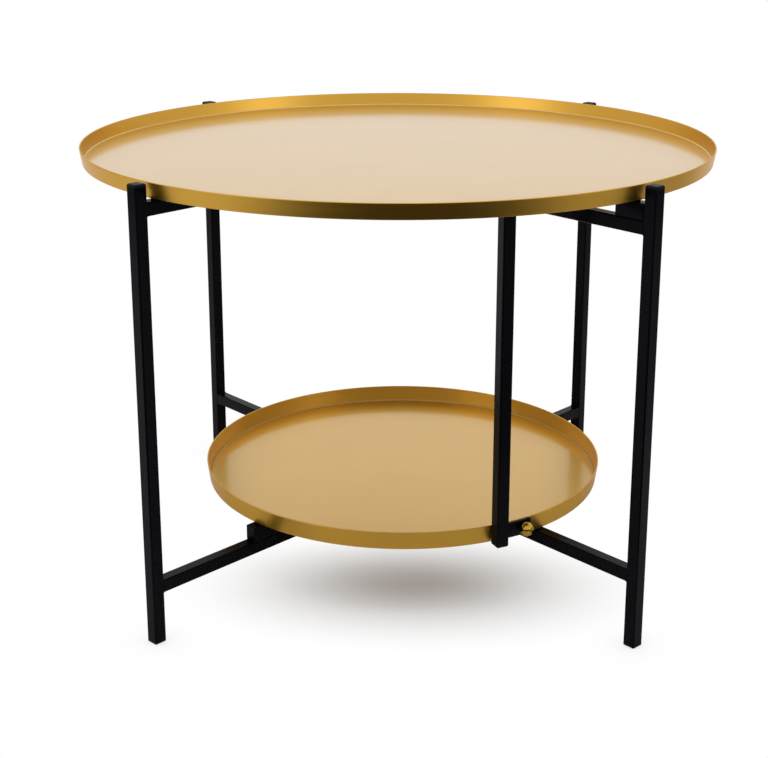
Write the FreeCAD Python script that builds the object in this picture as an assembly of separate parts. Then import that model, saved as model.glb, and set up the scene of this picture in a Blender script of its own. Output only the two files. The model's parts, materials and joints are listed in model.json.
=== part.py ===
import FreeCAD, Part
import math
import os

# Tiered side table: two crossing loops of square tube fold about the vertical axis through the origin.
# A large tray rests between the four leg tops, and a smaller tray below swings out on a post.
# Lengths are millimetres, angles are degrees, the floor is z = 0 and -Y is the front.

# Square steel tube
tube = 12.0
tube_wall = 1.2
tube_corner = 1.5
plug_head_chamfer = 0.9

# Loops of the folding frame
leg_height = 414.0
leg_gap = 4.0
front_half_angle = 42.8
strut_height = 47.0
bar_drop = 16.0
cap_height = 3.0
cap_chamfer = 1.2
plug_depth = 14.0
glide_height = 2.5
glide_chamfer = 0.8

# Blocks that level the four seats of each tray
block_length = 30.0
block_chamfer = 0.8
lower_block_overhang = 0.5

# Pivots at the two crossings
pivot_radius = 3.0
pivot_clearance = 0.05
pivot_head_radius = 5.5
pivot_head_height = 1.6
pivot_tail = 1.5
nut_sides = 6
nut_flats = 10.0
nut_height = 5.0
washer_radius = 5.8
washer_thickness = 2.0

# Rubber pads under the trays
pad_length = 14.0
pad_width = 9.0
pad_height = 2.0
upper_pad_inset = 14.0
lower_pad_inset = 15.5

# Trays
upper_tray_radius = 300.0
upper_rim_height = 14.0
lower_tray_radius = 197.5
lower_rim_height = 17.0
lower_tray_shift = 6.0
rim_flare = 2.5
rim_sheet = 1.4
floor_sheet = 1.0
bead = 1.5
seam_gap = 0.4
upper_seam_angle = 80.0
lower_seam_angle = 75.0

# Swing post with its arm and pin
post_angle = -64.2
post_overhang = 1.0
post_cap_height = 4.0
post_end_chamfer = 1.2
arm_width = 18.0
arm_thickness = 4.0
pin_radius = 3.0
pin_clearance = 0.05
pin_head_radius = 5.0
pin_head_height = 3.0
pin_depth = 16.0
bush_flange = 2.0
bush_depth = 20.0

# Bracket along the rim, its screw and the ball nut
bracket_reach = 35.0
bracket_thickness = 3.0
bracket_height = 15.5
ball_reach = 27.0
ball_drop = 6.5
ball_radius = 6.5
ball_seat = 5.2
ball_bands = 6
screw_radius = 2.0
screw_clearance = 0.2
screw_head_radius = 3.6
screw_head_height = 1.8
screw_grip = 6.0
seat_gap = 0.05

# Every cutting tool reaches this far past the faces that it cuts
overrun = 1.0
# Edges within this distance of a level lie on it
touch = 0.001

# Values that follow from the sizes above
full_turn = 360.0
half_turn = 180.0
frame_a_angle = -full_turn / 4 - front_half_angle
frame_b_angle = -full_turn / 4 + front_half_angle
bore = tube - 2 * tube_wall
leg_inner = upper_tray_radius + leg_gap
leg_radius = leg_inner + tube / 2
block_height = tube + washer_thickness

strut_a_middle = strut_height + tube / 2
strut_b_middle = strut_a_middle + tube + washer_thickness
strut_b_top = strut_b_middle + tube / 2
bar_a_top = leg_height - bar_drop
bar_a_middle = bar_a_top - tube / 2
bar_b_middle = bar_a_middle - tube - washer_thickness
bar_b_top = bar_b_middle + tube / 2
upper_tray_base = bar_a_top + pad_height
lower_tray_base = strut_b_top + pad_height

up = FreeCAD.Vector(0, 0, 1)
origin = FreeCAD.Vector(0, 0, 0)


def turned(shape, angle, axis=up, centre=origin):
    copy = shape.copy()
    copy.rotate(centre, axis, angle)
    return copy


def moved(shape, x=0, y=0, z=0):
    copy = shape.copy()
    copy.translate(FreeCAD.Vector(x, y, z))
    return copy


def both_ends(shape):
    return Part.makeCompound([shape, turned(shape, half_turn)])


def box(x0, x1, y0, y1, z0, z1):
    return Part.makeBox(x1 - x0, y1 - y0, z1 - z0, FreeCAD.Vector(x0, y0, z0))


def cylinder(radius, z0, z1):
    return Part.makeCylinder(radius, z1 - z0, FreeCAD.Vector(0, 0, z0))


def spun(corners, sweep):
    points = [FreeCAD.Vector(radius, 0, z) for radius, z in corners]
    return Part.Face(Part.makePolygon(points + points[:1])).revolve(origin, up, sweep)


def upright_edges(shape):
    return [edge for edge in shape.Edges if edge.Curve.TypeId == "Part::GeomLine"
            and abs(edge.tangentAt(edge.FirstParameter).dot(up)) > math.sqrt(1 / 2)]


def edges_at(shape, z):
    return [edge for edge in shape.Edges
            if max(abs(vertex.Z - z) for vertex in edge.Vertexes) < touch]


def square_tube(z0, z1):
    outer = box(-tube / 2, tube / 2, -tube / 2, tube / 2, z0, z1)
    outer = outer.makeFillet(tube_corner, upright_edges(outer))
    hollow = box(-bore / 2, bore / 2, -bore / 2, bore / 2, z0 - overrun, z1 + overrun)
    return outer.cut(hollow)


def square_head(z0, z1):
    head = box(-tube / 2, tube / 2, -tube / 2, tube / 2, z0, z1)
    return head.makeChamfer(plug_head_chamfer, upright_edges(head))


def square_plug(z0, z1):
    return box(-bore / 2, bore / 2, -bore / 2, bore / 2, z0, z1)


def leg():
    return moved(square_tube(glide_height, leg_height - cap_height), x=leg_radius)


def leg_cap():
    head = square_head(leg_height - cap_height, leg_height)
    head = head.makeChamfer(cap_chamfer, edges_at(head, leg_height))
    plug = square_plug(leg_height - cap_height - plug_depth, leg_height - cap_height)
    return moved(head.fuse(plug), x=leg_radius)


def foot_glide():
    head = square_head(0, glide_height)
    head = head.makeChamfer(glide_chamfer, edges_at(head, 0))
    return moved(head.fuse(square_plug(glide_height, glide_height + plug_depth)), x=leg_radius)


def cross_tube(middle, hole_radius):
    tube_along = turned(square_tube(-leg_inner, leg_inner), full_turn / 4, FreeCAD.Vector(0, 1, 0))
    hole = cylinder(hole_radius, -tube, tube)
    return moved(tube_along.cut(hole), z=middle)


def spacer_block(outer_end, base):
    block = box(outer_end - block_length, outer_end, -tube / 2, tube / 2, base, base + block_height)
    return block.makeChamfer(block_chamfer, upright_edges(block))


def pad(reach, base):
    half = pad_width / 2
    return box(reach - pad_length / 2, reach + pad_length / 2, -half, half, base, base + pad_height)


def pivot_bolt(top, bottom):
    head = cylinder(pivot_head_radius, top, top + pivot_head_height)
    return head.fuse(cylinder(pivot_radius, bottom - nut_height - pivot_tail, top))


def pivot_nut(bottom):
    step = full_turn / nut_sides
    corner = FreeCAD.Vector(nut_flats / 2 / math.cos(math.radians(step / 2)), 0, bottom - nut_height)
    corners = [turned(Part.Vertex(corner), step * i).Point for i in range(nut_sides)]
    prism = Part.Face(Part.makePolygon(corners, True)).extrude(up * nut_height)
    return prism.cut(cylinder(pivot_radius, bottom - nut_height - overrun, bottom + overrun))


def pivot_washer(base):
    disc = cylinder(washer_radius, base, base + washer_thickness)
    return disc.cut(cylinder(pivot_radius, base - overrun, base + washer_thickness + overrun))


class Tray:
    """Flared hoop welded round a flat floor, with a bead over the weld, built about the Z axis."""

    def __init__(self, radius, rim_height, base, seam_angle):
        self.radius = radius
        self.base = base
        self.top = base + rim_height
        self.surface = base + floor_sheet
        self.seam_angle = seam_angle
        self.slope = rim_flare / rim_height

    def outer_at(self, z):
        return self.radius - rim_flare + self.slope * (z - self.base)

    def inner_at(self, z):
        return self.outer_at(z) - rim_sheet

    def floor_edge(self):
        return [(self.inner_at(self.base), self.base), (self.inner_at(self.surface) - bead, self.surface)]

    def rim(self):
        bead_top = self.surface + bead
        below, above = self.floor_edge()
        section = [below, (self.outer_at(self.base), self.base), (self.radius, self.top),
                   (self.inner_at(self.top), self.top), (self.inner_at(bead_top), bead_top), above]
        gap_angle = math.degrees(seam_gap / self.radius)
        return turned(spun(section, full_turn - gap_angle), self.seam_angle + gap_angle / 2)

    def floor(self):
        return spun([(0, self.base)] + self.floor_edge() + [(0, self.surface)], full_turn)


upper_tray = Tray(upper_tray_radius, upper_rim_height, upper_tray_base, upper_seam_angle)
lower_tray = Tray(lower_tray_radius, lower_rim_height, lower_tray_base, lower_seam_angle)

# The post stands against the lower tray's rim, with one face along it
post_radius = lower_tray_radius + tube / 2
post_foot = lower_tray_base - post_overhang
post_x = lower_tray_shift + post_radius * math.cos(math.radians(post_angle))
post_y = post_radius * math.sin(math.radians(post_angle))
post_spot = turned(Part.Vertex(post_x, post_y, 0), -frame_b_angle).Point
tube_top = bar_b_top - bush_flange
tube_foot = post_foot + post_cap_height


def at_post(shape):
    return moved(turned(shape, post_angle), x=post_x, y=post_y)


def swing_post():
    return at_post(square_tube(tube_foot, tube_top))


def post_bush():
    flange = square_head(tube_top, bar_b_top)
    bush = flange.fuse(square_plug(tube_top - bush_depth, tube_top))
    bore_tool = cylinder(pin_radius + pin_clearance, tube_top - bush_depth - overrun, bar_b_top + overrun)
    return at_post(bush.cut(bore_tool))


def post_end_cap():
    head = square_head(post_foot, tube_foot)
    head = head.makeChamfer(post_end_chamfer, edges_at(head, post_foot))
    return at_post(head.fuse(square_plug(tube_foot, tube_foot + plug_depth)))


def post_arm():
    half = arm_width / 2
    top = bar_b_top + arm_thickness
    strip = box(-half, half, post_spot.y, tube / 2, bar_b_top, top)
    round_end = moved(cylinder(half, bar_b_top, top), y=post_spot.y)
    hole = moved(cylinder(pin_radius, bar_b_top - overrun, top + overrun), y=post_spot.y)
    return moved(strip.fuse(round_end).removeSplitter().cut(hole), x=post_spot.x)


def post_pin():
    seat = bar_b_top + arm_thickness
    head = cylinder(pin_head_radius, seat, seat + pin_head_height)
    pin = head.fuse(cylinder(pin_radius, bar_b_top - pin_depth, seat))
    return moved(pin, x=post_spot.x, y=post_spot.y)


# Places along the rim are measured from the post's middle, as lengths of arc
def rim_angle(reach):
    return post_angle + math.degrees(reach / lower_tray_radius)


bracket_base = lower_tray_base + (lower_rim_height - bracket_height)
ball_height = lower_tray.top - ball_drop
flare_angle = math.degrees(math.atan(lower_tray.slope))


def on_rim(shape):
    tilted = turned(shape, flare_angle, FreeCAD.Vector(0, 1, 0))
    placed = moved(tilted, x=lower_tray.outer_at(ball_height), z=ball_height)
    return moved(turned(placed, rim_angle(ball_reach)), x=lower_tray_shift)


def along_x(shape):
    return turned(shape, full_turn / 4, FreeCAD.Vector(0, 1, 0))


def screw_hole():
    depth = bracket_thickness + ball_radius
    return on_rim(along_x(cylinder(screw_radius + screw_clearance, -depth, depth)))


def rim_bracket():
    top = bracket_base + bracket_height
    corner = [FreeCAD.Vector(lower_tray.outer_at(z) + offset, 0, z)
              for z, offset in ((bracket_base, 0), (bracket_base, bracket_thickness),
                                (top, bracket_thickness), (top, 0), (bracket_base, 0))]
    sweep = rim_angle(bracket_reach) - post_angle
    strip = turned(Part.Face(Part.makePolygon(corner)).revolve(origin, up, sweep), post_angle)
    beside_post = turned(box(0, post_radius + tube, -tube, tube / 2, 0, leg_height), post_angle)
    strip = moved(strip.cut(beside_post), x=lower_tray_shift)
    return strip.cut(screw_hole())


def bracket_screw():
    inside = -rim_sheet - seat_gap
    head = cylinder(screw_head_radius, inside - screw_head_height, inside)
    shank = cylinder(screw_radius, inside, bracket_thickness + screw_grip)
    return on_rim(along_x(head.fuse(shank)))


def ball_nut():
    seat = bracket_thickness + seat_gap
    seat_angle = math.acos(ball_seat / ball_radius)
    step = (math.pi - seat_angle) / ball_bands
    angles = [seat_angle + step * i for i in range(ball_bands)]
    outline = [(ball_radius * math.sin(a), seat + ball_seat - ball_radius * math.cos(a)) for a in angles]
    ball = spun([(0, seat)] + outline + [(0, seat + ball_seat + ball_radius)], full_turn)
    thread = cylinder(screw_radius, 0, bracket_thickness + screw_grip)
    return on_rim(along_x(ball.cut(thread)))


def frame_a():
    lower_block_end = lower_tray_radius + lower_block_overhang
    return {
        "leg_front_left": leg(),
        "leg_back_right": turned(leg(), half_turn),
        "upper_bar_a": cross_tube(bar_a_middle, pivot_radius),
        "lower_strut_a": cross_tube(strut_a_middle, pivot_radius),
        "lower_blocks_a": both_ends(spacer_block(lower_block_end, strut_height + tube)),
        "leg_caps_a": both_ends(leg_cap()),
        "foot_glides_a": both_ends(foot_glide()),
        "upper_pads_a": both_ends(pad(upper_tray_radius - upper_pad_inset, bar_a_top)),
        "lower_pads_a": both_ends(pad(lower_tray_radius - lower_pad_inset, strut_b_top)),
    }


def frame_b():
    hole = pivot_radius + pivot_clearance
    return {
        "leg_front_right": leg(),
        "leg_back_left": turned(leg(), half_turn),
        "upper_bar_b": cross_tube(bar_b_middle, hole),
        "lower_strut_b": cross_tube(strut_b_middle, hole),
        "upper_blocks_b": both_ends(spacer_block(leg_inner, bar_b_top)),
        "leg_caps_b": both_ends(leg_cap()),
        "foot_glides_b": both_ends(foot_glide()),
        "upper_pads_b": both_ends(pad(upper_tray_radius - upper_pad_inset, bar_a_top)),
        "lower_pads_b": both_ends(pad(lower_tray_radius - lower_pad_inset, strut_b_top)),
        "post_arm": post_arm(),
        "post_pin": post_pin(),
    }


def pivots():
    bar_b_bottom = bar_b_middle - tube / 2
    bolts = [pivot_bolt(bar_a_top, bar_b_bottom), pivot_bolt(strut_b_top, strut_height)]
    return {
        "pivot_bolts": Part.makeCompound(bolts),
        "pivot_nuts": Part.makeCompound([pivot_nut(bar_b_bottom), pivot_nut(strut_height)]),
        "pivot_washers": Part.makeCompound([pivot_washer(bar_b_top), pivot_washer(strut_height + tube)]),
    }


def trays():
    return {
        "upper_tray_floor": upper_tray.floor(),
        "upper_tray_rim": upper_tray.rim(),
        "lower_tray_floor": moved(lower_tray.floor(), x=lower_tray_shift),
        "lower_tray_rim": moved(lower_tray.rim(), x=lower_tray_shift).cut(screw_hole()),
    }


def swing_gear():
    return {
        "swing_post": swing_post(),
        "post_bush": post_bush(),
        "post_end_cap": post_end_cap(),
        "rim_bracket": rim_bracket(),
        "bracket_screw": bracket_screw(),
        "ball_nut": ball_nut(),
    }


def main():
    pieces = {name: turned(shape, frame_a_angle) for name, shape in frame_a().items()}
    pieces.update({name: turned(shape, frame_b_angle) for name, shape in frame_b().items()})
    pieces.update(pivots())
    pieces.update(trays())
    pieces.update(swing_gear())
    os.makedirs("parts", exist_ok=True)
    for name, shape in pieces.items():
        shape.exportStep(os.path.join("parts", name + ".step"))
        print(name, "solids", len(shape.Solids), "volume", round(shape.Volume), "valid", shape.isValid())


main()
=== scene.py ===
# %% [markdown]
# # A tiered side table in satin gold and black
# Two round gold trays stand on a slim black frame of square steel tube. The frame is two flat loops that
# cross in the middle and fold on each other, the big tray lifts off, and the small tray swings out on its own
# post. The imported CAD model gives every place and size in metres. This lesson keeps the CAD pieces whose
# shape is right, gives them a proper finish, and puts finer pieces in the place of the rest.

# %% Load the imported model
import json
import math

import bmesh
import bpy
from mathutils import Matrix, Vector


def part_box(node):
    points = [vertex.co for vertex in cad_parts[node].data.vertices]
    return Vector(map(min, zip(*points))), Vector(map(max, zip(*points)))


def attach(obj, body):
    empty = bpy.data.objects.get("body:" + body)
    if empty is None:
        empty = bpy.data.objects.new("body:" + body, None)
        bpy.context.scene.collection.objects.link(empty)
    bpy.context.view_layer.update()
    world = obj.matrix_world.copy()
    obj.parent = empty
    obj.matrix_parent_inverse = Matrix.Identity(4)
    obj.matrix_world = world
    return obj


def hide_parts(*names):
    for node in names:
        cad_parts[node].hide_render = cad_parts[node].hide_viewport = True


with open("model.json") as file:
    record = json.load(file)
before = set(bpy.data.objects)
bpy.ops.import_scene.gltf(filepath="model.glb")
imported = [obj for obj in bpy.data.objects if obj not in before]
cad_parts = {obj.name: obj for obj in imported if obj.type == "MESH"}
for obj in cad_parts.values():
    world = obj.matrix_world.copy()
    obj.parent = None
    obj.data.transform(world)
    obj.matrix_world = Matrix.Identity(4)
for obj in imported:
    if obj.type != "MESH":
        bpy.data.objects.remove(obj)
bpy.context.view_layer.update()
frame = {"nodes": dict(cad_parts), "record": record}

nodes = frame["nodes"]
scene = bpy.context.scene
mm = 0.001

# %% [markdown]
# ## The camera
# The photo was taken from a little above the big tray, with a lens that kept the legs upright by shifting its
# picture. The same place and zoom were found by matching the edges of the trays and legs. Only a small part
# of the shift is used here, so that the table also stays in the picture when the camera walks round it, and
# the camera is tipped down for the rest.

# %% Camera at the photo's viewing angle
picture_width = 768
focal_pixels = 1475.34
camera_place = (0.01037, -1.40349, 0.65363)
tip_down = math.radians(15.556)
turn_left = math.radians(0.942)
picture_shift = -0.118

camera_data = bpy.data.cameras.new("photo_camera")
camera_data.sensor_width = 36
camera_data.lens = focal_pixels / picture_width * camera_data.sensor_width
camera_data.shift_y = picture_shift
camera = bpy.data.objects.new("photo_camera", camera_data)
camera.location = camera_place
camera.rotation_euler = (math.pi / 2 - tip_down, 0, turn_left)
scene.collection.objects.link(camera)
scene.camera = camera
print("lens in mm:", round(camera_data.lens, 2))

# %% [markdown]
# ## Two small tools for finishes
# Designers write colours as sRGB hex values, and Blender's shaders work in linear light, so one function
# turns the first into the second. A finish is a small tree of nodes. Written out by hand each node takes five
# lines, so one function adds a node, sets its properties, and fills its inputs with values or with links.

# %% Colour and node helpers
def linear(hex_colour):
    """An sRGB hex colour as linear red, green, blue and alpha."""
    channels = [int(hex_colour[place:place + 2], 16) / 255 for place in (1, 3, 5)]
    bent = [c / 12.92 if c <= 0.04045 else ((c + 0.055) / 1.055) ** 2.4 for c in channels]
    return (*bent, 1.0)


def add(tree, kind, inputs=None, **settings):
    """Adds one node to a tree. An input is a plain value or the socket that feeds it."""
    node = tree.nodes.new(kind)
    for name, value in settings.items():
        setattr(node, name, value)
    for place, value in (inputs or {}).items():
        if isinstance(value, bpy.types.NodeSocket):
            tree.links.new(value, node.inputs[place])
        else:
            node.inputs[place].default_value = value
    return node


def finish_tree(name):
    """A new material with an empty tree, and the tree's object coordinates."""
    finish = bpy.data.materials.new(name)
    finish.use_nodes = True
    finish.node_tree.nodes.clear()
    place = add(finish.node_tree, "ShaderNodeTexCoord").outputs["Object"]
    return finish, finish.node_tree, place


print("helpers ready, mid grey is", round(linear("#808080")[0], 3))

# %% [markdown]
# ## The studio
# The table was photographed on white, with a soft shadow below the small tray. A white room of even light
# gives that: the world is white for the camera and for reflections, and a little weaker as a lamp, because a
# wide softbox overhead adds the rest and throws the shadow, unseen by the metal so that the trays keep their
# colour from above. Two smaller ones stand low at the camera's sides, for the two bright patches on the far
# rim. The floor is white card that fades into the white of the room, so there is no horizon. It shows as lit
# card, with the real shadow on it, in an oval a little in front of the table's middle, where the photo has
# its shadow. Close to a foot it shows faintly too, found by how much of the sky a spot of floor sees, so that
# this shade follows the feet when the frame folds. Reflections see the lit card much further out, because the
# undersides of the rims mirror the shaded floor around the feet.

# %% White room
room_light = 0.62

room = bpy.data.worlds.new("white_room")
room.use_nodes = True
tree = room.node_tree
tree.nodes.clear()
rays = add(tree, "ShaderNodeLightPath")
seen = add(tree, "ShaderNodeMath", {0: rays.outputs["Is Camera Ray"], 1: rays.outputs["Is Glossy Ray"]},
           operation="MAXIMUM")
seen = add(tree, "ShaderNodeMath", {0: seen.outputs[0], 1: rays.outputs["Is Transmission Ray"]},
           operation="MAXIMUM")
glow = add(tree, "ShaderNodeBackground", {"Color": linear("#F7FAFF"), "Strength": room_light})
white = add(tree, "ShaderNodeBackground", {"Color": linear("#FFFFFF"), "Strength": 1.0})
both = add(tree, "ShaderNodeMixShader", {0: seen.outputs[0], 1: glow.outputs[0], 2: white.outputs[0]})
add(tree, "ShaderNodeOutputWorld", {"Surface": both.outputs[0]})
scene.world = room
room.cycles.sampling_method = "NONE"
scene.view_settings.view_transform = "Standard"
print("room made, lamp strength", room_light)

# %% White card that fades into the room
shade_to = 0.245
least_glow = 0.15
shade_middle = (0.02, -0.12, 0)
shade_squeeze = (1, 1.85, 1)
foot_reach = 0.04
foot_glow = 0.7
foot_rays = 4
open_at_foot = 0.5
mirror_from = 0.45
mirror_to = 1.30

white_card, tree, place = finish_tree("white_card_matt")
distance = add(tree, "ShaderNodeVectorMath", {0: place}, operation="LENGTH")
offset = add(tree, "ShaderNodeVectorMath", {0: place, 1: shade_middle}, operation="SUBTRACT")
oval = add(tree, "ShaderNodeVectorMath", {0: offset.outputs[0], 1: shade_squeeze}, operation="MULTIPLY")
reach = add(tree, "ShaderNodeVectorMath", {0: oval.outputs[0]}, operation="LENGTH")
near = add(tree, "ShaderNodeMapRange", {"Value": reach.outputs["Value"], "From Max": shade_to,
           "To Min": least_glow}, interpolation_type="SMOOTHSTEP")
openness = add(tree, "ShaderNodeAmbientOcclusion", {"Distance": foot_reach}, samples=foot_rays)
at_feet = add(tree, "ShaderNodeMapRange", {"Value": openness.outputs["AO"], "From Min": open_at_foot,
              "To Min": foot_glow})
shown = add(tree, "ShaderNodeMath", {0: near.outputs[0], 1: at_feet.outputs[0]}, operation="MINIMUM")
far = add(tree, "ShaderNodeMapRange", {"Value": distance.outputs["Value"], "From Min": mirror_from,
          "From Max": mirror_to}, interpolation_type="SMOOTHSTEP")
rays = add(tree, "ShaderNodeLightPath")
mirrored = add(tree, "ShaderNodeMath", {0: rays.outputs["Is Glossy Ray"],
               1: rays.outputs["Is Transmission Ray"]}, operation="MAXIMUM")
looked_at = add(tree, "ShaderNodeMath", {0: shown.outputs[0], 1: rays.outputs["Is Camera Ray"]},
                operation="MULTIPLY")
amount = add(tree, "ShaderNodeMath", {0: far.outputs[0], 1: mirrored.outputs[0], 2: looked_at.outputs[0]},
             operation="MULTIPLY_ADD")
matt = add(tree, "ShaderNodeBsdfDiffuse", {"Color": linear("#F8F7F6")})
shine = add(tree, "ShaderNodeEmission", {"Color": linear("#FFFFFF"), "Strength": 1.0})
both = add(tree, "ShaderNodeMixShader", {0: amount.outputs[0], 1: matt.outputs[0], 2: shine.outputs[0]})
add(tree, "ShaderNodeOutputMaterial", {"Surface": both.outputs[0]})
print(white_card.name, "has", len(tree.nodes), "nodes")

# %% Floor of that card
floor_side = 9.0

half = floor_side / 2
floor_corners = [(-half, -half, 0), (half, -half, 0), (half, half, 0), (-half, half, 0)]
floor_mesh = bpy.data.meshes.new("studio_floor")
floor_mesh.from_pydata(floor_corners, [], [(0, 1, 2, 3)])
floor_mesh.materials.append(white_card)
studio_floor = bpy.data.objects.new("studio_floor", floor_mesh)
scene.collection.objects.link(studio_floor)
print("floor", floor_side, "m wide")

# %% Softboxes overhead and to both sides of the camera
lit_point = Vector((0, 0, 0.4))
softboxes = {
    "softbox_overhead": {"side": 1.7, "power": 17, "place": (-0.15, -0.1, 1.9)},
    "softbox_left": {"side": 1.0, "power": 4.3, "place": (-1.70, -1.31, 0.95)},
    "softbox_right": {"side": 0.9, "power": 3.3, "place": (1.87, -1.14, 0.95)},
}
for name, box in softboxes.items():
    lamp = bpy.data.lights.new(name, "AREA")
    lamp.size = box["side"]
    lamp.energy = box["power"]
    softbox = bpy.data.objects.new(name, lamp)
    softbox.location = box["place"]
    softbox.visible_camera = False
    if name == "softbox_overhead":
        softbox.visible_glossy = False
    else:
        softbox.rotation_euler = (lit_point - softbox.location).to_track_quat("-Z", "Y").to_euler()
    scene.collection.objects.link(softbox)
print(len(softboxes), "softboxes,", sum(box["power"] for box in softboxes.values()), "W")

# %% [markdown]
# ## Dark cloth for the metal to mirror
# The front of the big tray's rim goes dark brown in the middle, because metal shows what stands in front of
# it: the dark end of the studio behind the camera. Dark cloth does that here, which a photographer calls a
# flag. One lies on the floor in front, a thinner one to the right, where the rim is duller, and a low dark
# wall stands round the front and both sides and takes the glare off the far rim of the small tray. Only
# reflections see them, and their edges fade so that the metal turns dark softly.

# %% Flags on the floor
flags = {
    "dark_flag_front": {"low": (-0.80, -3.60), "high": (1.45, -0.24), "fade_low": (0.40, 0.30),
                        "fade_high": (0.90, 0.34), "depth": 1.0},
    "dark_flag_right": {"low": (0.60, -0.75), "high": (3.00, 0.95), "fade_low": (0.30, 0.40),
                        "fade_high": (0.50, 0.50), "depth": 0.45},
}
flag_height = 0.004
for name, cloth in flags.items():
    velvet, tree, place = finish_tree(f"{name}_velvet")
    parts = add(tree, "ShaderNodeSeparateXYZ", {0: place})
    dark = cloth["depth"]
    for number, axis in enumerate("XY"):
        low, high = cloth["low"][number], cloth["high"][number]
        for edge, full in ((low, low + cloth["fade_low"][number]), (high, high - cloth["fade_high"][number])):
            fade = add(tree, "ShaderNodeMapRange", {"Value": parts.outputs[axis], "From Min": edge,
                       "From Max": full}, interpolation_type="SMOOTHSTEP")
            dark = add(tree, "ShaderNodeMath", {0: fade.outputs[0], 1: dark}, operation="MULTIPLY").outputs[0]
    clear = add(tree, "ShaderNodeBsdfTransparent")
    black = add(tree, "ShaderNodeEmission", {"Color": linear("#100C09"), "Strength": 1.0})
    both = add(tree, "ShaderNodeMixShader", {0: dark, 1: clear.outputs[0], 2: black.outputs[0]})
    add(tree, "ShaderNodeOutputMaterial", {"Surface": both.outputs[0]})
    (left, front), (right, back) = cloth["low"], cloth["high"]
    flag_corners = ((left, front), (right, front), (right, back), (left, back))
    flag_mesh = bpy.data.meshes.new(name)
    flag_mesh.from_pydata([(x, y, flag_height) for x, y in flag_corners], [], [(0, 1, 2, 3)])
    flag_mesh.materials.append(velvet)
    flag = bpy.data.objects.new(name, flag_mesh)
    scene.collection.objects.link(flag)
    flag.visible_camera = False
    flag.visible_diffuse = False
    flag.visible_shadow = False
    print(name, "from", cloth["low"], "to", cloth["high"])

# %% Low dark wall round the front
wall_radius = 2.0
wall_solid, wall_top = 0.32, 0.54
wall_from, wall_to, wall_steps = math.radians(145), math.radians(395), 48

dusk, tree, place = finish_tree("dark_wall_velvet")
parts = add(tree, "ShaderNodeSeparateXYZ", {0: place})
fade = add(tree, "ShaderNodeMapRange", {"Value": parts.outputs["Z"], "From Min": wall_top,
           "From Max": wall_solid}, interpolation_type="SMOOTHSTEP")
clear = add(tree, "ShaderNodeBsdfTransparent")
black = add(tree, "ShaderNodeEmission", {"Color": linear("#1A1612"), "Strength": 1.0})
both = add(tree, "ShaderNodeMixShader", {0: fade.outputs[0], 1: clear.outputs[0], 2: black.outputs[0]})
add(tree, "ShaderNodeOutputMaterial", {"Surface": both.outputs[0]})

bends = [wall_from + (wall_to - wall_from) * step / wall_steps for step in range(wall_steps + 1)]
wall_foot = [(wall_radius * math.cos(bend), wall_radius * math.sin(bend)) for bend in bends]
wall_mesh = bpy.data.meshes.new("dark_wall")
wall_mesh.from_pydata([(x, y, z) for x, y in wall_foot for z in (0, wall_top)], [],
                      [(2 * step, 2 * step + 1, 2 * step + 3, 2 * step + 2) for step in range(wall_steps)])
wall_mesh.materials.append(dusk)
wall = bpy.data.objects.new("dark_wall", wall_mesh)
scene.collection.objects.link(wall)
wall.visible_camera = False
wall.visible_diffuse = False
wall.visible_shadow = False
print("dark wall of", len(wall_mesh.polygons), "faces,", wall_top, "m high")

# %% [markdown]
# ## Satin gold lacquer
# Both trays are steel sheet under a thin gold metallic lacquer. It reflects like metal with a soft blur: the
# floor of the big tray, seen at a low angle, mirrors the white room and looks champagne, and the rim shows as
# a gold band in it. Its clear top is smoother than the metal flakes below and shows most at low angles, so
# the big tray mirrors its rim more sharply than the small one does. The lacquer lies in slightly uneven
# clouds a hand wide, over a fine grain. The rims were rolled from strip, so theirs has long thin lines that
# run round the tray. The bead of filler along the crease is real, but its paler, more matt gold is a painted
# highlight that draws the fine light line round the far side of each tray. Noise mostly stays between 0.3 and
# 0.7, so every finish spreads that part over its range of gloss.

# %% Gold on the flat floors
cloud_mm = 85
lacquer_grain_mm = 1.4
noise_low, noise_high = 0.3, 0.7

gold_floor, tree, place = finish_tree("gold_lacquer_satin_on_sheet")
clouds = add(tree, "ShaderNodeTexNoise", {"Vector": place, "Scale": 1 / (cloud_mm * mm), "Detail": 2.0})
grain = add(tree, "ShaderNodeTexNoise", {"Vector": place, "Scale": 1 / (lacquer_grain_mm * mm),
            "Detail": 3.0})
tone = add(tree, "ShaderNodeMix", {0: clouds.outputs["Fac"], 6: linear("#CA9D2F"), 7: linear("#D1A53A")},
           data_type="RGBA")
blur = add(tree, "ShaderNodeMapRange", {"Value": grain.outputs["Fac"], "From Min": noise_low,
           "From Max": noise_high, "To Min": 0.34, "To Max": 0.39})
shader = add(tree, "ShaderNodeBsdfPrincipled", {"Base Color": tone.outputs[2], "Roughness": blur.outputs[0],
             "Metallic": 1.0, "Coat Weight": 1.0, "Coat Roughness": 0.13, "Coat IOR": 1.36})
add(tree, "ShaderNodeOutputMaterial", {"Surface": shader.outputs[0]})
print(gold_floor.name)

# %% Gold on the rolled rims
line_length_mm = 160
line_height_mm = 0.8

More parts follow.
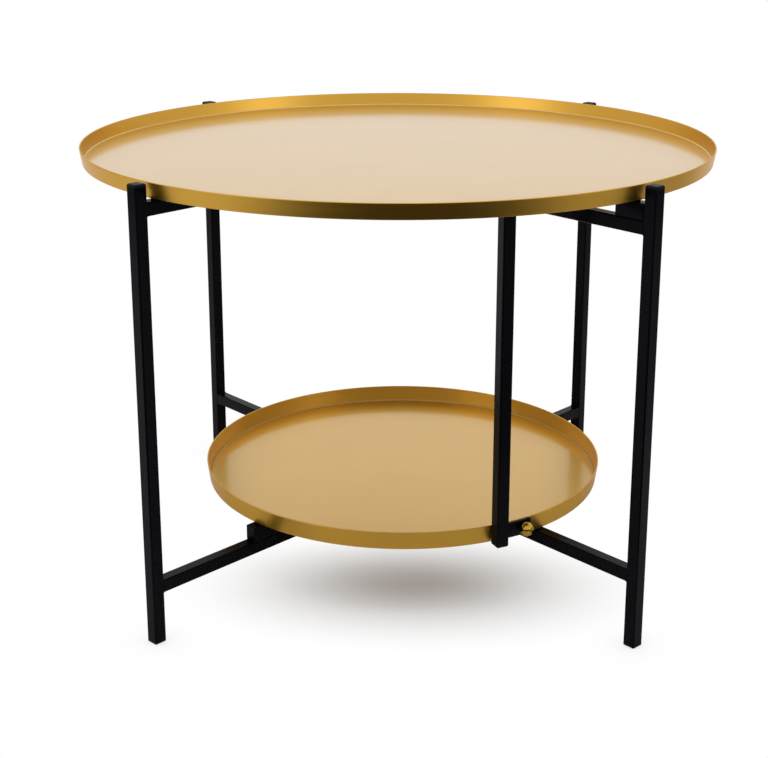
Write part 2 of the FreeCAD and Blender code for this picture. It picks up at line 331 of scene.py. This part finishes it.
gold_rim, tree, place = finish_tree("gold_lacquer_satin_on_rolled_strip")
stretched = add(tree, "ShaderNodeMapping", {"Vector": place, "Scale": (1 / (line_length_mm * mm),
                1 / (line_length_mm * mm), 1 / (line_height_mm * mm))})
lines = add(tree, "ShaderNodeTexNoise", {"Vector": stretched.outputs[0], "Scale": 1.0, "Detail": 3.0,
            "Roughness": 0.6})
tone = add(tree, "ShaderNodeMix", {0: lines.outputs["Fac"], 6: linear("#C7993A"), 7: linear("#D2A444")},
           data_type="RGBA")
blur = add(tree, "ShaderNodeMapRange", {"Value": lines.outputs["Fac"], "From Min": noise_low,
           "From Max": noise_high, "To Min": 0.33, "To Max": 0.38})
bump = add(tree, "ShaderNodeBump", {"Height": lines.outputs["Fac"], "Strength": 0.04, "Distance": 0.05 * mm})
shader = add(tree, "ShaderNodeBsdfPrincipled", {"Base Color": tone.outputs[2], "Roughness": blur.outputs[0],
             "Normal": bump.outputs[0], "Metallic": 1.0, "Specular Tint": linear("#F4E2C8"),
             "Coat Weight": 0.2, "Coat Roughness": 0.12, "Coat IOR": 1.35})
add(tree, "ShaderNodeOutputMaterial", {"Surface": shader.outputs[0]})
print(gold_rim.name)

# %% Pale gold on the filler along the crease, a painted highlight
highlight_patch_mm = 3

bead_painted_highlight, tree, place = finish_tree("gold_lacquer_pale_painted_highlight_on_filler")
highlight_patches = add(tree, "ShaderNodeTexNoise", {"Vector": place, "Scale": 1 / (highlight_patch_mm * mm), "Detail": 2.0})
# painted highlight: these pale tones and the matt finish stand in for the light caught along the crease
tone = add(tree, "ShaderNodeMix", {0: highlight_patches.outputs["Fac"], 6: linear("#CBA95A"), 7: linear("#DCBF7A")},
           data_type="RGBA")
shader = add(tree, "ShaderNodeBsdfPrincipled", {"Base Color": tone.outputs[2], "Roughness": 0.5,
             "Metallic": 0.2})
add(tree, "ShaderNodeOutputMaterial", {"Surface": shader.outputs[0]})
print(bead_painted_highlight.name)

# %% [markdown]
# ## Black powder coat
# The tubes are sprayed with powder and baked. That leaves a thin even skin with a fine orange peel, near
# black with a trace of blue, and a low soft gloss that only shows along edges and on faces turned to the
# light. Real orange peel is under a millimetre wide. It is drawn a little coarser here, because it would not
# show otherwise.

# %% Powder coat for the frame
peel_mm = 1.6
coat_cloud_mm = 40

powder_coat, tree, place = finish_tree("steel_black_powder_coat_satin")
peel = add(tree, "ShaderNodeTexNoise", {"Vector": place, "Scale": 1 / (peel_mm * mm), "Detail": 2.0})
cloud = add(tree, "ShaderNodeTexNoise", {"Vector": place, "Scale": 1 / (coat_cloud_mm * mm), "Detail": 2.0})
tone = add(tree, "ShaderNodeMix", {0: cloud.outputs["Fac"], 6: linear("#040308"), 7: linear("#07060C")},
           data_type="RGBA")
blur = add(tree, "ShaderNodeMapRange", {"Value": peel.outputs["Fac"], "From Min": noise_low,
           "From Max": noise_high, "To Min": 0.22, "To Max": 0.32})
bump = add(tree, "ShaderNodeBump", {"Height": peel.outputs["Fac"], "Strength": 0.12, "Distance": 0.08 * mm})
shader = add(tree, "ShaderNodeBsdfPrincipled", {"Base Color": tone.outputs[2], "Roughness": blur.outputs[0],
             "Normal": bump.outputs[0], "IOR": 1.5, "Specular IOR Level": 0.06})
add(tree, "ShaderNodeOutputMaterial", {"Surface": shader.outputs[0]})
print(powder_coat.name)

# %% [markdown]
# ## Caps, rubber, zinc and brass
# The plugs in the tube ends are moulded nylon, a shade greyer than the paint, with the fine pitting of a
# spark eroded mould. The pads under the trays are matt rubber. Bolts and nuts are zinc plated steel, dull
# silver in small cloudy patches. The ball on the rim is turned brass, polished, so it mirrors the room and
# keeps only a trace of its turning lines.

# %% Moulded nylon and rubber
pit_mm = 0.9
rubber_grain_mm = 0.8
rough_spread = 0.05

moulded = {}
for name, dark_tone, light_tone, grain_mm, rough, gloss in (
        ("nylon_black_moulded", "#08080D", "#0E0E14", pit_mm, 0.42, 0.08),
        ("rubber_black_matt", "#141414", "#1E1D1C", rubber_grain_mm, 0.80, 0.20)):
    finish, tree, place = finish_tree(name)
    pits = add(tree, "ShaderNodeTexNoise", {"Vector": place, "Scale": 1 / (grain_mm * mm), "Detail": 3.0})
    tone = add(tree, "ShaderNodeMix", {0: pits.outputs["Fac"], 6: linear(dark_tone), 7: linear(light_tone)},
               data_type="RGBA")
    blur = add(tree, "ShaderNodeMapRange", {"Value": pits.outputs["Fac"], "From Min": noise_low,
               "From Max": noise_high, "To Min": rough - rough_spread, "To Max": rough + rough_spread})
    bump = add(tree, "ShaderNodeBump", {"Height": pits.outputs["Fac"], "Strength": 0.15,
               "Distance": 0.06 * mm})
    shader = add(tree, "ShaderNodeBsdfPrincipled", {"Base Color": tone.outputs[2],
                 "Roughness": blur.outputs[0], "Normal": bump.outputs[0], "IOR": 1.5,
                 "Specular IOR Level": gloss})
    add(tree, "ShaderNodeOutputMaterial", {"Surface": shader.outputs[0]})
    moulded[name] = finish
nylon = moulded["nylon_black_moulded"]
rubber = moulded["rubber_black_matt"]
print(list(moulded))

# %% Zinc plate and polished brass
spangle_mm = 2.5
turning_mm = 0.7

plated = {}
for name, first_tone, second_tone, grain_mm, low, high in (
        ("steel_zinc_plated", "#A9ACB0", "#C2C4C6", spangle_mm, 0.30, 0.45),
        ("brass_turned_polished", "#AE8C2C", "#C4A040", turning_mm, 0.18, 0.25)):
    finish, tree, place = finish_tree(name)
    patches = add(tree, "ShaderNodeTexNoise", {"Vector": place, "Scale": 1 / (grain_mm * mm), "Detail": 2.0})
    tone = add(tree, "ShaderNodeMix", {0: patches.outputs["Fac"], 6: linear(first_tone),
               7: linear(second_tone)}, data_type="RGBA")
    blur = add(tree, "ShaderNodeMapRange", {"Value": patches.outputs["Fac"], "From Min": noise_low,
               "From Max": noise_high, "To Min": low, "To Max": high})
    shader = add(tree, "ShaderNodeBsdfPrincipled", {"Base Color": tone.outputs[2],
                 "Roughness": blur.outputs[0], "Metallic": 1.0})
    add(tree, "ShaderNodeOutputMaterial", {"Surface": shader.outputs[0]})
    plated[name] = finish
zinc = plated["steel_zinc_plated"]
brass = plated["brass_turned_polished"]
print(list(plated))

# %% [markdown]
# ## Finishes on the CAD pieces
# The CAD pieces know their material slot in the record. Giving each one the finish of its slot dresses the
# whole table at once. Pieces that get a finer shape are replaced further down.

# %% Dress every CAD node by its slot
finish_of_slot = {"frame_black": powder_coat, "cap_black": nylon, "pad_rubber": rubber, "bolt_steel": zinc,
                  "tray_gold": gold_floor, "ball_brass": brass}
slot_of_node = {row["node"]: row["material_slot"] for row in frame["record"]["subparts"]}
bodies = frame["record"]["behaviour"]["bodies"]
body_of_node = {node: body for body, owned in bodies.items() for node in owned}
for name, node in nodes.items():
    node.data.materials.clear()
    node.data.materials.append(finish_of_slot[slot_of_node[name]])
print(len(nodes), "CAD nodes dressed")

# %% [markdown]
# ## Soft edges for moulded and cut pieces
# CAD edges are perfectly sharp, and real ones never are: a moulded cap has a radius and paint rounds every
# cut edge. Only a rounded edge catches a line of light. A copy of the CAD mesh is merged, its flat faces are
# joined, and Bevel rounds what is left. The result replaces the node, in the same place. Two functions that
# every later piece needs come first: one turns modifiers into a plain mesh, the other hands a finished piece to
# its body.

# %% Helpers for finished pieces
def settle(piece, body, slot, *replaced):
    """A finished piece rides on its body and stands for CAD nodes. Its slot is not used."""
    if piece.name not in scene.collection.objects:
        scene.collection.objects.link(piece)
    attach(piece, body)
    if replaced:
        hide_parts(*replaced)
    return piece


def plain(piece):
    """Keeps what the modifiers give as a plain mesh and drops the modifiers."""
    if piece.name not in scene.collection.objects:
        scene.collection.objects.link(piece)
    shown = piece.evaluated_get(bpy.context.evaluated_depsgraph_get())
    made = bpy.data.meshes.new_from_object(shown)
    piece.modifiers.clear()
    piece.data = made
    return piece


print("piece helpers ready")

# %% Copy of a CAD piece with rounded edges
merge_distance = 0.01 * mm
flat_angle = math.radians(0.8)
sharp_angle = math.radians(28)
round_steps = 3


def soft_copy(node, name, radius_mm):
    """A copy of a CAD node with rounded edges, as a plain mesh in the same place."""
    mesh = bpy.data.meshes.new(name)
    shape = bmesh.new()
    shape.from_mesh(nodes[node].data)
    bmesh.ops.remove_doubles(shape, verts=shape.verts, dist=merge_distance)
    bmesh.ops.dissolve_limit(shape, angle_limit=flat_angle, verts=shape.verts, edges=shape.edges)
    for face in shape.faces:
        face.smooth = True
    shape.to_mesh(mesh)
    shape.free()
    mesh.materials.append(finish_of_slot[slot_of_node[node]])
    piece = bpy.data.objects.new(name, mesh)
    bevel = piece.modifiers.new("rounded", "BEVEL")
    bevel.width = radius_mm * mm
    bevel.segments = round_steps
    bevel.limit_method = "ANGLE"
    bevel.angle_limit = sharp_angle
    bevel.harden_normals = True
    return plain(piece)


print("edges over", round(math.degrees(sharp_angle)), "degrees get", round_steps, "steps")

# %% Round the edges of caps, glides, blocks, pads, arm and bracket
soft_edges_mm = {
    "leg_caps_a": ("leg_caps_front_left_back_right", 0.55),
    "leg_caps_b": ("leg_caps_front_right_back_left", 0.55),
    "foot_glides_a": ("glides_front_left_back_right", 0.5),
    "foot_glides_b": ("glides_front_right_back_left", 0.5),
    "lower_blocks_a": ("seat_blocks_small_tray", 0.5), "upper_blocks_b": ("seat_blocks_big_tray", 0.5),
    "post_arm": ("arm_over_post", 0.6), "rim_bracket": ("bracket_on_small_rim", 0.5),
    "post_end_cap": ("cap_under_post", 0.55), "post_bush": ("bush_in_post", 0.4),
    "upper_pads_a": ("pads_big_tray_a", 0.5), "upper_pads_b": ("pads_big_tray_b", 0.5),
    "lower_pads_a": ("pads_small_tray_a", 0.5), "lower_pads_b": ("pads_small_tray_b", 0.5),
    "pivot_washers": ("pivot_washers_nylon", 0.3),
}
for node, (name, radius_mm) in soft_edges_mm.items():
    settle(soft_copy(node, name, radius_mm), body_of_node[node], slot_of_node[node], node)
print(len(soft_edges_mm), "pieces with rounded edges")

# %% [markdown]
# ## The rims
# Each rim is a strip of thin steel, bent to a ring, leaning out a little, with its ends meeting in a fine
# butt seam at the back and a small bead of filler along the crease inside. The rule is plain: one small
# section that follows a circle. Geometry Nodes sweep it, with the sizes as inputs, so both trays come from
# the same tree. Two small functions come first, one to start a tree and one to put it on an object.

# %% Helpers for Geometry Nodes
def new_tree(name, sizes, source=None):
    """A Geometry Nodes tree with a number input for each size. A source mesh has to be the first input."""
    tree = bpy.data.node_groups.new(name, "GeometryNodeTree")
    tree.interface.new_socket("Geometry", in_out="OUTPUT", socket_type="NodeSocketGeometry")
    if source:
        tree.interface.new_socket(source, in_out="INPUT", socket_type="NodeSocketGeometry")
    for size in sizes:
        tree.interface.new_socket(size, in_out="INPUT", socket_type="NodeSocketFloat")
    return tree, add(tree, "NodeGroupInput").outputs


def grow(tree, name, values, source=None):
    """A new object with a tree on it as a modifier, its named inputs filled in."""
    piece = bpy.data.objects.new(name, source or bpy.data.meshes.new(name))
    modifier = piece.modifiers.new(tree.name, "NODES")
    modifier.node_group = tree
    for socket in tree.interface.items_tree:
        if socket.in_out == "INPUT" and socket.name in values:
            modifier[socket.identifier] = values[socket.name]
    return piece


print("tree helpers ready")

# %% Tree that sweeps a rim
ring_points = 361
edge_steps = 4
bead_sides = 12
rim_sizes = ("Radius", "Height", "Flare", "Sheet", "Edge", "Bead", "Floor", "Seam", "Seam Angle", "Base",
             "Centre X")

rim_tree, size = new_tree("rim_rolled_from_strip", rim_sizes)
inside = add(rim_tree, "ShaderNodeMath", {0: size["Flare"], 1: size["Sheet"]}, operation="ADD").outputs[0]
minus = {}
for name, length in (("flare", size["Flare"]), ("sheet", size["Sheet"]), ("inside", inside),
                     ("height", size["Height"]), ("floor", size["Floor"])):
    minus[name] = add(rim_tree, "ShaderNodeMath", {0: 0.0, 1: length}, operation="SUBTRACT").outputs[0]
section = add(rim_tree, "GeometryNodeCurvePrimitiveQuadrilateral", mode="POINTS")
section_corners = ((minus["inside"], 0.0), (minus["flare"], 0.0), (0.0, minus["height"]),
                   (minus["sheet"], minus["height"]))
for number, (x, y) in enumerate(section_corners, start=1):
    corner = add(rim_tree, "ShaderNodeCombineXYZ", {0: x, 1: y})
    rim_tree.links.new(corner.outputs[0], section.inputs[f"Point {number}"])
section = add(rim_tree, "GeometryNodeFilletCurve", {"Curve": section.outputs[0], "Radius": size["Edge"],
              "Count": edge_steps}, mode="POLY")
open_angle = add(rim_tree, "ShaderNodeMath", {0: size["Seam"], 1: size["Radius"]}, operation="DIVIDE")
sweep = add(rim_tree, "ShaderNodeMath", {0: math.tau, 1: open_angle.outputs[0]}, operation="SUBTRACT")
ring = add(rim_tree, "GeometryNodeCurveArc", {"Resolution": ring_points, "Radius": size["Radius"],
           "Start Angle": size["Seam Angle"], "Sweep Angle": sweep.outputs[0]}, mode="RADIUS")
ring = add(rim_tree, "GeometryNodeSetCurveNormal", {"Curve": ring.outputs[0]}, mode="Z_UP")
strip = add(rim_tree, "GeometryNodeCurveToMesh", {"Curve": ring.outputs[0],
            "Profile Curve": section.outputs[0], "Fill Caps": True})
wire = add(rim_tree, "GeometryNodeCurvePrimitiveCircle", {"Resolution": bead_sides, "Radius": size["Bead"]},
           mode="RADIUS")
inner_corner = add(rim_tree, "ShaderNodeCombineXYZ", {0: minus["inside"], 1: minus["floor"]})
wire = add(rim_tree, "GeometryNodeTransform", {"Geometry": wire.outputs[0],
           "Translation": inner_corner.outputs[0]})
bead = add(rim_tree, "GeometryNodeCurveToMesh", {"Curve": ring.outputs[0], "Profile Curve": wire.outputs[0],
           "Fill Caps": True})
flipped = add(rim_tree, "GeometryNodeFlipFaces", {"Mesh": strip.outputs[0]})
both = add(rim_tree, "GeometryNodeJoinGeometry")
# the bead gets the pale gold, a painted highlight along the crease
for part, finish in ((bead, bead_painted_highlight), (flipped, gold_rim)):
    dressed = add(rim_tree, "GeometryNodeSetMaterial", {"Geometry": part.outputs[0], "Material": finish})
    rim_tree.links.new(dressed.outputs[0], both.inputs[0])
lift = add(rim_tree, "ShaderNodeCombineXYZ", {0: size["Centre X"], 2: size["Base"]})
placed = add(rim_tree, "GeometryNodeTransform", {"Geometry": both.outputs[0], "Translation": lift.outputs[0]})
real = add(rim_tree, "GeometryNodeRealizeInstances", {"Geometry": placed.outputs[0]})
add(rim_tree, "NodeGroupOutput", {"Geometry": real.outputs[0]})
print("rim tree has", len(rim_tree.nodes), "nodes")

# %% Both rims from the tree
rim_values = {
    "upper_tray": {"Radius": 300, "Height": 14, "Seam Angle": 80, "Base": 400, "Centre X": 0},
    "lower_tray": {"Radius": 197.5, "Height": 17, "Seam Angle": 75, "Base": 75, "Centre X": 6},
}
shared = {"Flare": 2.5, "Sheet": 1.4, "Edge": 0.55, "Bead": 0.9, "Floor": 1.0, "Seam": 0.15}
for body, values in rim_values.items():
    lengths = {key: value * mm for key, value in {**values, **shared}.items()}
    lengths["Seam Angle"] = math.radians(values["Seam Angle"])
    rim = grow(rim_tree, f"{body}_rim_rolled", lengths)
    weighted = rim.modifiers.new("even_shading", "WEIGHTED_NORMAL")
    weighted.keep_sharp = True
    plain(rim)
    settle(rim, body, "tray_gold", f"{body}_rim")
    low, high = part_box(f"{body}_rim")
    xs = [vertex.co.x for vertex in rim.data.vertices]
    zs = [vertex.co.z for vertex in rim.data.vertices]
    print(rim.name, len(rim.data.polygons), "faces, x", round(min(xs) / mm, 2), round(max(xs) / mm, 2), "z",
          round(min(zs) / mm, 2), round(max(zs) / mm, 2), "CAD", [round(v / mm, 2) for v in (*low, *high)])

# %% [markdown]
# ## Turned pieces
# The tray floors, the ball, the bolts, the nuts and the pin are all round, so each is an outline spun about
# an axis, as on a lathe. Blender's Spin could do that, but a ring of points for each step of the outline
# leaves no doubles to merge, and a ring can also be given six sides, which makes sockets and hexagon nuts in
# the same way.

# %% Lathe
crease = math.radians(32)


def turned(name, outline, foot_mm, axis, finish, around=48, hole=False):
    """Spins an outline of (radius, height, sides) in mm. With a hole, the last ring joins the first."""
    shape = bmesh.new()
    rings = []
    for radius, height, *sides in outline:
        half_side = math.pi / sides[0] if sides else 0
        ring = []
        for step in range(around if radius else 1):
            angle = math.tau * step / around
            reach = radius
            if sides:
                reach = radius / math.cos((angle + half_side) % (2 * half_side) - half_side)
            spot = (reach * math.cos(angle) * mm, reach * math.sin(angle) * mm, height * mm)
            ring.append(shape.verts.new(spot))
        rings.append(ring)
    for one, two in zip(rings, rings[1:] + rings[:1] if hole else rings[1:]):
        for step in range(around):
            after = step + 1
            corners = [one[step % len(one)], one[after % len(one)],
                       two[after % len(two)], two[step % len(two)]]
            shape.faces.new(list(dict.fromkeys(corners)))
    bmesh.ops.recalc_face_normals(shape, faces=shape.faces)
    tilt = Vector(axis).to_track_quat("Z", "Y").to_matrix().to_4x4()
    shape.transform(Matrix.Translation(Vector(foot_mm) * mm) @ tilt)
    mesh = bpy.data.meshes.new(name)
    shape.to_mesh(mesh)
    shape.free()
    mesh.shade_smooth()
    mesh.set_sharp_from_angle(angle=crease)
    mesh.materials.append(finish)
    return bpy.data.objects.new(name, mesh)


print("lathe ready, creases over", round(math.degrees(crease)), "degrees stay sharp")

# %% Parts joined to one mesh
def joined(name, parts):
    """Several parts as one plain mesh."""
    shape = bmesh.new()
    for part in parts:
        shape.from_mesh(part.data)
    mesh = bpy.data.meshes.new(name)
    shape.to_mesh(mesh)
    shape.free()
    mesh.shade_smooth()
    mesh.set_sharp_from_angle(angle=crease)
    for finish in parts[0].data.materials:
        mesh.materials.append(finish)
    return bpy.data.objects.new(name, mesh)


print("join ready")

# %% Tray floors
upright = (0, 0, 1)
floor_radius = {"upper_tray": 296.1, "lower_tray": 193.6}
floor_steps = 240
plate_top = shared["Floor"]
cut_edge, pressed_edge = 0.3, 0.4
top_rings, under_rings = (0.25, 0.5, 0.75, 0.95), (0.95, 0.5)
for body, edge in floor_radius.items():
    centre_x = rim_values[body]["Centre X"]
    base = rim_values[body]["Base"]
    outline = [(0, plate_top), *((edge * share, plate_top) for share in top_rings),
               (edge - pressed_edge, plate_top), (edge, plate_top - cut_edge), (edge, cut_edge),
               (edge - cut_edge, 0), *((edge * share, 0) for share in under_rings), (0, 0)]
    plate = turned(f"{body}_floor_plate", outline, (centre_x, 0, base), upright, gold_floor,
                   around=floor_steps)
    settle(plate, body, "tray_gold", f"{body}_floor")
    print(plate.name, len(plate.data.polygons), "faces")

# %% Brass ball on the small tray's rim
small_rim = rim_values["lower_tray"]
rim_lean = math.atan2(shared["Flare"], small_rim["Height"])
ball_angle = math.radians(-56.37)
rim_reach = 196.544
hole_height = 85.5
outward = (math.cos(rim_lean) * math.cos(ball_angle), math.cos(rim_lean) * math.sin(ball_angle),
           -math.sin(rim_lean))
on_rim = (small_rim["Centre X"] + rim_reach * math.cos(ball_angle), rim_reach * math.sin(ball_angle),
          hole_height)
ball_middle = 8.25
ball_radius = 6.5
ball_flat = 5.2
seat_radius = 3.4
ball_steps = 24

ball_start = math.acos(ball_flat / ball_radius)
arc = [ball_start + (math.pi - ball_start) * step / ball_steps for step in range(ball_steps)]
outline = [(0, ball_middle - ball_flat), (seat_radius, ball_middle - ball_flat)]
outline += [(ball_radius * math.sin(angle), ball_middle - ball_radius * math.cos(angle)) for angle in arc]
outline += [(0, ball_middle + ball_radius)]
ball = turned("ball_nut_turned", outline, on_rim, outward, brass)
settle(ball, "lower_tray", "ball_brass", "ball_nut")
print("ball at", [round(value, 1) for value in (Vector(on_rim) + Vector(outward) * ball_middle)])

# %% Screw behind the ball
screw_shaft, screw_head, screw_socket = 2.0, 3.6, 1.1
screw_seat, screw_tip = -1.45, 8.8
socket_floor, socket_rim = -2.1, -3.15
hexagon = 6

outline = [(0, socket_floor), (screw_socket, socket_floor, hexagon), (screw_socket, socket_rim, hexagon),
           (1.4, -3.25), (2.4, -3.18), (3.2, -2.75), (screw_head, socket_floor),
           (screw_head, screw_seat - 0.1), (screw_head - 0.1, screw_seat), (screw_shaft, screw_seat),
           (screw_shaft, screw_tip), (0, screw_tip)]
screw = turned("bracket_screw_button_head", outline, on_rim, outward, brass)
settle(screw, "lower_tray", "ball_brass", "bracket_screw")
print(screw.name, screw_tip - screw_seat, "mm under its head")

# %% Pivot bolts and nuts
seat_tops = (398, 73)
nut_feet = (367, 42)
tail_feet = (365.5, 40.5)
shaft, thread_root, bolt_socket, bolt_head = 3.0, 2.6, 1.6, 5.5
nut_reach, nut_round, nut_bore, nut_height = 5.0, 4.7, 3.4, 5
fold_axis = (0, 0, 0)

bolt_parts = []
nut_parts = []
for seat, nut_foot, tail in zip(seat_tops, nut_feet, tail_feet):
    outline = [(0, seat + 0.5), (bolt_socket, seat + 0.5, hexagon), (bolt_socket, seat + 1.5, hexagon),
               (1.9, seat + 1.6), (4.0, seat + 1.5), (5.0, seat + 1.1), (bolt_head, seat + 0.4),
               (bolt_head, seat + 0.1), (bolt_head - 0.1, seat), (shaft, seat), (shaft, nut_foot + 0.4),
               (thread_root, nut_foot + 0.2), (thread_root, tail + 0.4), (thread_root - 0.4, tail), (0, tail)]
    bolt_parts.append(turned("bolt", outline, fold_axis, upright, zinc))
    nut_top = nut_foot + nut_height
    outline = [(shaft, nut_foot + 0.5), (nut_bore, nut_foot), (nut_round, nut_foot),
               (nut_reach, nut_foot + 0.6, hexagon), (nut_reach, nut_top - 0.6, hexagon),
               (nut_round, nut_top), (nut_bore, nut_top), (shaft, nut_top - 0.5)]
    nut_parts.append(turned("nut", outline, fold_axis, upright, zinc, hole=True))
settle(joined("pivot_nuts_hexagon", nut_parts), "frame_a", "bolt_steel", "pivot_nuts")
print(len(bolt_parts), "bolts and", len(nut_parts), "nuts")

# %% Pin that the post swings on
pin_place = (94.57, -183.21, 0)
pin_seat, pin_tip, pin_head = 388, 368, 5.0

outline = [(0, pin_seat + 1.6), (bolt_socket, pin_seat + 1.6, hexagon),
           (bolt_socket, pin_seat + 2.9, hexagon), (1.9, pin_seat + 3), (3.4, pin_seat + 2.8),
           (4.6, pin_seat + 2.1), (pin_head, pin_seat + 1.2), (pin_head, pin_seat + 0.2),
           (pin_head - 0.2, pin_seat), (shaft, pin_seat), (shaft, pin_tip + 0.6), (shaft - 0.6, pin_tip),
           (0, pin_tip)]
pin = turned("post_pin_button_head", outline, pin_place, upright, zinc)
settle(pin, "frame_b", "bolt_steel", "post_pin")
print(pin.name, pin_seat - pin_tip, "mm under its head")

# %% [markdown]
# ## Threads on the bolt tails
# Below each nut a few turns of thread stick out. A thread follows a path, a helix, so Geometry Nodes sweep a
# small square on its corner along a spiral and put one on each tail. The points of the two tails are the
# tree's source.

# %% Tree that winds a thread
turn_points = 24
tooth_corners = 4
tooth_share = 0.5

thread_tree, size = new_tree("thread_on_tail", ("Radius", "Pitch", "Turns"), "Tails")
rise = add(thread_tree, "ShaderNodeMath", {0: size["Pitch"], 1: size["Turns"]}, operation="MULTIPLY")
helix = add(thread_tree, "GeometryNodeCurveSpiral", {"Resolution": turn_points, "Rotations": size["Turns"],
            "Start Radius": size["Radius"], "End Radius": size["Radius"], "Height": rise.outputs[0]})
tooth_size = add(thread_tree, "ShaderNodeMath", {0: size["Pitch"], 1: tooth_share}, operation="MULTIPLY")
tooth = add(thread_tree, "GeometryNodeCurvePrimitiveCircle", {"Resolution": tooth_corners,
            "Radius": tooth_size.outputs[0]}, mode="RADIUS")
wound = add(thread_tree, "GeometryNodeCurveToMesh", {"Curve": helix.outputs[0],
            "Profile Curve": tooth.outputs[0], "Fill Caps": True})
placed = add(thread_tree, "GeometryNodeInstanceOnPoints", {"Points": size["Tails"],
             "Instance": wound.outputs[0]})
real = add(thread_tree, "GeometryNodeRealizeInstances", {"Geometry": placed.outputs[0]})
dressed = add(thread_tree, "GeometryNodeSetMaterial", {"Geometry": real.outputs[0], "Material": zinc})
add(thread_tree, "NodeGroupOutput", {"Geometry": dressed.outputs[0]})
print("thread tree has", len(thread_tree.nodes), "nodes")

# %% Threads joined to their bolts
thread_start = 0.45
thread_sizes = {"Radius": 2.5 * mm, "Pitch": 0.9 * mm, "Turns": 1.6}

tail_points = bpy.data.meshes.new("bolt_tails")
tail_points.from_pydata([(0, 0, (tail + thread_start) * mm) for tail in tail_feet], [], [])
threads = plain(grow(thread_tree, "threads", thread_sizes, tail_points))
settle(joined("pivot_bolts_socket_head", bolt_parts + [threads]), "frame_a", "bolt_steel", "pivot_bolts")
bpy.data.objects.remove(threads)
print("threads wound on", len(tail_feet), "tails")

# %% [markdown]
# ## Weld seams
# Bars and struts are welded to the legs and the paint goes over the weld. A weld is a row of small drops that
# overlap along the edge where the tubes meet. It fills the corner above and below the bar. At the sides,
# where both tubes are flush, it is ground down and hardly stands out, so the row is narrower than the tube.
# Geometry Nodes set drops along a rounded square, turn that square to face along its bar, and put one at
# every joint. A fixed seed makes the drops a little uneven.

# %% Tree that lays a weld
least_drop, most_drop = (0.8, 0.8, 0.65), (1.15, 1.15, 0.95)
weld_seed = 7

weld_tree, size = new_tree("weld_round_tube_end", ("Upright", "Level", "Corner", "Drop", "Spacing"), "Joints")
square = add(weld_tree, "GeometryNodeCurvePrimitiveQuadrilateral", {"Width": size["Upright"],
             "Height": size["Level"]})
square = add(weld_tree, "GeometryNodeFilletCurve", {"Curve": square.outputs[0], "Radius": size["Corner"],
             "Count": edge_steps}, mode="POLY")
row = add(weld_tree, "GeometryNodeCurveToPoints", {"Curve": square.outputs[0], "Length": size["Spacing"]},
          mode="LENGTH")
drop = add(weld_tree, "GeometryNodeMeshUVSphere", {"Segments": 8, "Rings": 5, "Radius": size["Drop"]})
uneven = add(weld_tree, "FunctionNodeRandomValue", {"Min": least_drop, "Max": most_drop, "Seed": weld_seed},
             data_type="FLOAT_VECTOR")
drops = add(weld_tree, "GeometryNodeInstanceOnPoints", {"Points": row.outputs["Points"],
            "Instance": drop.outputs["Mesh"], "Scale": uneven.outputs[0]})
facing = add(weld_tree, "GeometryNodeInputNamedAttribute", {"Name": "facing"}, data_type="FLOAT_VECTOR")
turn = add(weld_tree, "FunctionNodeAxesToRotation", {"Primary Axis": facing.outputs[0],
           "Secondary Axis": upright}, primary_axis="Z", secondary_axis="X")
seams = add(weld_tree, "GeometryNodeInstanceOnPoints", {"Points": size["Joints"],
            "Instance": drops.outputs[0], "Rotation": turn.outputs[0]})
real = add(weld_tree, "GeometryNodeRealizeInstances", {"Geometry": seams.outputs[0]})
smooth = add(weld_tree, "GeometryNodeSetShadeSmooth", {"Geometry": real.outputs[0]})
dressed = add(weld_tree, "GeometryNodeSetMaterial", {"Geometry": smooth.outputs[0], "Material": powder_coat})
add(weld_tree, "NodeGroupOutput", {"Geometry": dressed.outputs[0]})
print("weld tree has", len(weld_tree.nodes), "nodes")

# %% Welds on both loops
leg_inner_face = 303.9
loop_angle = {"frame_a": math.radians(-132.8), "frame_b": math.radians(-47.2)}
bar_middles = {"frame_a": (392, 53), "frame_b": (378, 67)}
weld_sizes = {"Upright": 12 * mm, "Level": 10.4 * mm, "Corner": 1.5 * mm, "Drop": 1.15 * mm,
              "Spacing": 1.5 * mm}
for body, angle in loop_angle.items():
    along = Vector((math.cos(angle), math.sin(angle), 0))
    ends = [(side * along, height) for side in (1, -1) for height in bar_middles[body]]
    spots = bpy.data.meshes.new(f"joints_of_{body}")
    spots.from_pydata([(end * leg_inner_face + Vector((0, 0, height))) * mm for end, height in ends], [], [])
    headings = spots.attributes.new("facing", "FLOAT_VECTOR", "POINT")
    for heading, (end, height) in zip(headings.data, ends):
        heading.vector = end
    seam = plain(grow(weld_tree, f"weld_seams_{body}", weld_sizes, spots))
    settle(seam, body, "frame_black")
